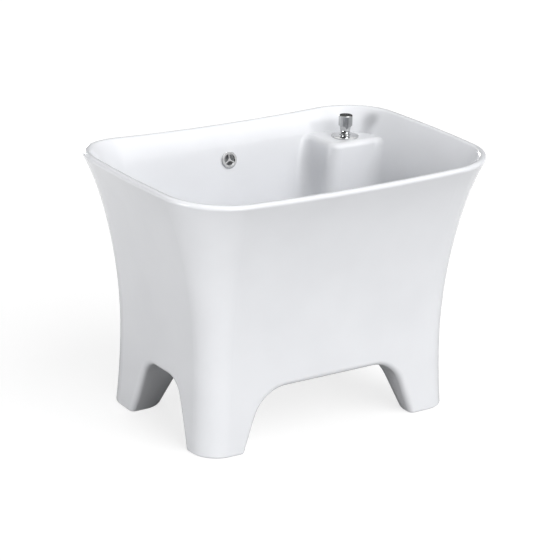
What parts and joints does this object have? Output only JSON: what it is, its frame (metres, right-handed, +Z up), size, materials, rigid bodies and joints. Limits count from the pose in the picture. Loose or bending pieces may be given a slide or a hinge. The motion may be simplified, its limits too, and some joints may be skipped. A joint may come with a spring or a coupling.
{
  "type": "mop sink",
  "caption": "Free-standing glazed ceramic mop sink on an arched base, with a flared bowl, a rear overflow and a pull-knob pop-up waste in a corner column.",
  "frame": {"origin": "bottom centre: on the floor under the middle of the overall footprint", "axes": "+X along the long side to the knob's end, +Y to the rear wall with the overflow, +Z up"},
  "size_m": [0.5914, 0.4126, 0.4297],
  "materials": {
    "glaze": "gloss",
    "chrome": "polished",
    "brass": "machined",
    "steel": "satin",
    "rubber": "matt",
    "plastic": "satin"
  },
  "bodies": {
    "sink": {"basin": "glaze", "overflow_cap": "chrome", "overflow_sleeve": "rubber", "escutcheon": "chrome", "guide_sleeve": "chrome", "deck_washer": "rubber", "deck_nut": "brass", "drain_flange": "chrome", "flange_gasket": "rubber", "drain_body": "chrome", "under_washer": "rubber", "friction_ring": "plastic", "lock_nut": "brass", "ball_seat": "plastic", "pivot_cap": "chrome", "tailpiece": "chrome"},
    "lift": {"lift_knob": "chrome", "lift_rod": "chrome", "clevis_strap": "steel", "clevis_screw": "brass"},
    "lever": {"pivot_rod": "chrome", "pivot_ball": "plastic", "spring_clip": "steel"},
    "stopper": {"stopper_cap": "chrome", "stopper_stem": "plastic", "stopper_seal": "rubber"}
  },
  "joints": [
    {"name": "knob_slide", "type": "slide", "parent": "sink", "child": "lift", "axis": [0, 0, 1], "range_m": [0, 0.034]},
    {"name": "lever_hinge", "type": "hinge", "parent": "sink", "child": "lever", "pos_m": [0.02429, 0.01584, 0.07], "axis": [0.5461, -0.8377, 0], "range_deg": [0, 15.48]},
    {"name": "stopper_slide", "type": "slide", "parent": "sink", "child": "stopper", "axis": [0, 0, 1], "range_m": [-0.00791, 0]}
  ],
  "couplings": [
    {"joint": "lever_hinge", "follows": "knob_slide", "rad_per_m": 7.9199},
    {"joint": "stopper_slide", "follows": "knob_slide", "ratio": -0.23108}
  ]
}
